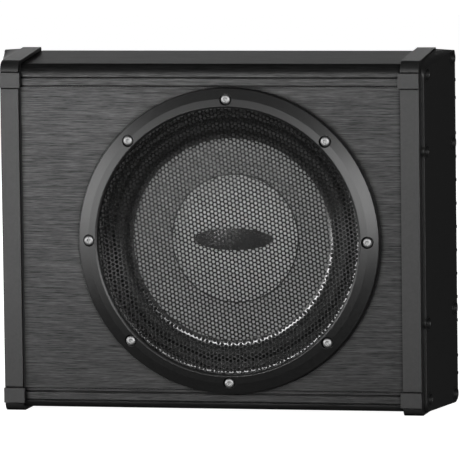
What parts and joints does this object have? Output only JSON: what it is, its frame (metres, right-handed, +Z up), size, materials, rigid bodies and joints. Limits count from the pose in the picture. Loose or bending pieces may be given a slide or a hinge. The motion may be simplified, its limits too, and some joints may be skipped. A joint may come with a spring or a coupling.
{
  "type": "powered car subwoofer",
  "caption": "Slim black powered car subwoofer: extruded box with cast end caps, round woofer behind a dished mesh in a screwed trim ring, finned back and side controls.",
  "frame": {"origin": "middle of the footprint on the surface that the box stands on", "axes": "the woofer faces -Y, +X is to the right seen from the front, +Z is up"},
  "size_m": [0.4108, 0.0969, 0.3183],
  "materials": {
    "shell_black": "brushed, black anodised",
    "cap_black": "fine-textured satin black paint on a casting",
    "heatsink_black": "black anodised",
    "ring_black": "satin black paint",
    "mesh_black": "satin black powder coat",
    "bright_screw": "bright zinc plate",
    "black_screw": "black oxide",
    "cone_grey": "fine matte grey",
    "dust_cap_grey": "fine matte grey",
    "badge_black": "gloss black",
    "surround_rubber": "matte",
    "basket_black": "satin black paint",
    "magnet_dark": "ground ferrite",
    "pole_steel": "yellowish zinc plate",
    "spider_fabric": "resin-set woven cloth",
    "former_film": "thin foil",
    "coil_copper": "enamelled copper",
    "gasket_foam": "closed-cell foam",
    "wadding_grey": "loose fibre",
    "board_green": "solder mask",
    "component_black": "moulded",
    "capacitor_sleeve": "shrink sleeve",
    "winding_copper": "enamelled wire",
    "post_brass": "bright",
    "pad_grey": "soft",
    "clamp_steel": "zinc plate",
    "panel_black": "fine satin black paint",
    "knob_black": "fine matte with a pale pointer",
    "shaft_steel": "turned",
    "socket_black": "moulded",
    "socket_white": "moulded nylon",
    "jack_metal": "bright",
    "fuse_amber": "translucent",
    "terminal_nickel": "nickel plate",
    "lamp_blue": "clear tinted",
    "wire_red": "matte insulation",
    "foot_rubber": "matte"
  },
  "bodies": {
    "enclosure": {"acoustic_wadding": "wadding_grey", "amplifier_board": "board_green", "back_plate": "pole_steel", "blade_fuses": "fuse_amber", "board_screws": "bright_screw", "board_standoffs": "post_brass", "clamp_screws": "bright_screw", "control_panel": "panel_black", "control_panel_screws": "black_screw", "filter_capacitors": "capacitor_sleeve", "front_shell": "shell_black", "fuse_holder": "component_black", "grille_mesh": "mesh_black", "heatsink_screws": "black_screw", "input_socket": "socket_white", "left_cap_gasket": "gasket_foam", "left_cap_screws": "black_screw", "left_end_cap": "cap_black", "magnet": "magnet_dark", "phase_switch_body": "component_black", "potentiometers": "component_black", "power_inductor": "winding_copper", "power_terminal": "socket_black", "power_terminal_screws": "terminal_nickel", "power_transformer": "winding_copper", "power_transistors": "component_black", "rca_jacks": "jack_metal", "rear_heatsink": "heatsink_black", "remote_port": "socket_black", "right_cap_gasket": "gasket_foam", "right_cap_screws": "black_screw", "right_end_cap": "cap_black", "rubber_feet": "foot_rubber", "speaker_wires": "wire_red", "spider": "spider_fabric", "status_led": "lamp_blue", "surround": "surround_rubber", "thermal_pad": "pad_grey", "tinsel_leads": "clamp_steel", "top_plate": "pole_steel", "transistor_clamp": "clamp_steel", "trim_ring": "ring_black", "trim_ring_screws": "bright_screw", "woofer_basket": "basket_black", "woofer_gasket": "gasket_foam", "woofer_terminals": "socket_black"},
    "cone_assembly": {"cone": "cone_grey", "dust_cap": "dust_cap_grey", "dust_cap_badge": "badge_black", "coil_former": "former_film", "voice_coil": "coil_copper"},
    "gain_control": {"gain_knob": "knob_black", "gain_shaft": "shaft_steel"},
    "crossover_control": {"crossover_knob": "knob_black", "crossover_shaft": "shaft_steel"},
    "boost_control": {"boost_knob": "knob_black", "boost_shaft": "shaft_steel"},
    "phase_switch": {"phase_switch_lever": "knob_black"}
  },
  "joints": [
    {"name": "cone_travel", "type": "slide", "parent": "enclosure", "child": "cone_assembly", "axis": [0, -1, 0], "range_m": [-0.005, 0.005], "stiffness_N_per_m": 3500, "deforming": ["surround", "spider", "tinsel_leads"]},
    {"name": "gain_turn", "type": "hinge", "parent": "enclosure", "child": "gain_control", "pos_m": [-0.19, 0.0125, 0.236], "axis": [-1, 0, 0], "range_deg": [-150, 150]},
    {"name": "crossover_turn", "type": "hinge", "parent": "enclosure", "child": "crossover_control", "pos_m": [-0.19, 0.0125, 0.214], "axis": [-1, 0, 0], "range_deg": [-150, 150]},
    {"name": "boost_turn", "type": "hinge", "parent": "enclosure", "child": "boost_control", "pos_m": [-0.19, 0.0125, 0.192], "axis": [-1, 0, 0], "range_deg": [-150, 150]},
    {"name": "phase_slide", "type": "slide", "parent": "enclosure", "child": "phase_switch", "axis": [0, 0, 1], "range_m": [-0.002, 0.002]}
  ]
}
